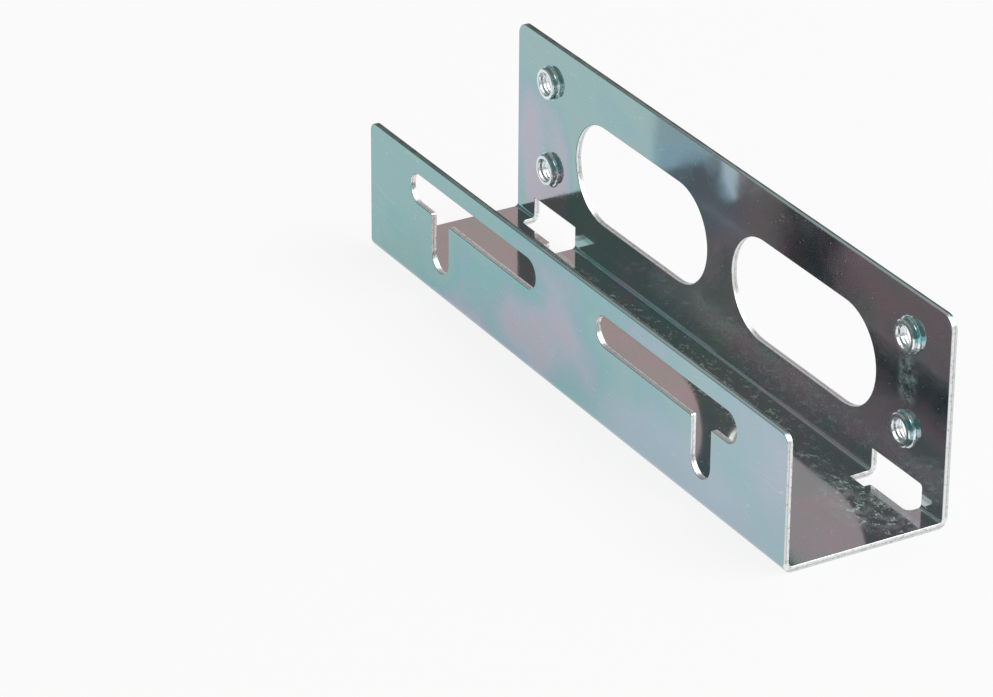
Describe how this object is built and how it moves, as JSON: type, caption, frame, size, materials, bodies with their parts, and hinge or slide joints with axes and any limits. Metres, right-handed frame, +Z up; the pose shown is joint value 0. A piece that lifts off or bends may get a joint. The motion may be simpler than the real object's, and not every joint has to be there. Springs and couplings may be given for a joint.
{
  "type": "drive bay adapter bracket",
  "caption": "Folded steel channel that fits a small drive into a wide bay: tapped collars and round-ended windows in the tall wall, hooked slots in the short wall.",
  "frame": {"origin": "middle of the length and of the width over the walls, at the underside of the floor", "axes": "+X along the length, +Y from the short wall (drive side) to the tall wall (bay side), +Z up from the floor along the walls"},
  "size_m": [0.0952, 0.022, 0.0264],
  "materials": {
    "zinc_plate": "bright zinc plate, passivated, with a faint blue-green and pink tint"
  },
  "bodies": {
    "root": {"bracket": "zinc_plate"}
  },
  "joints": []
}
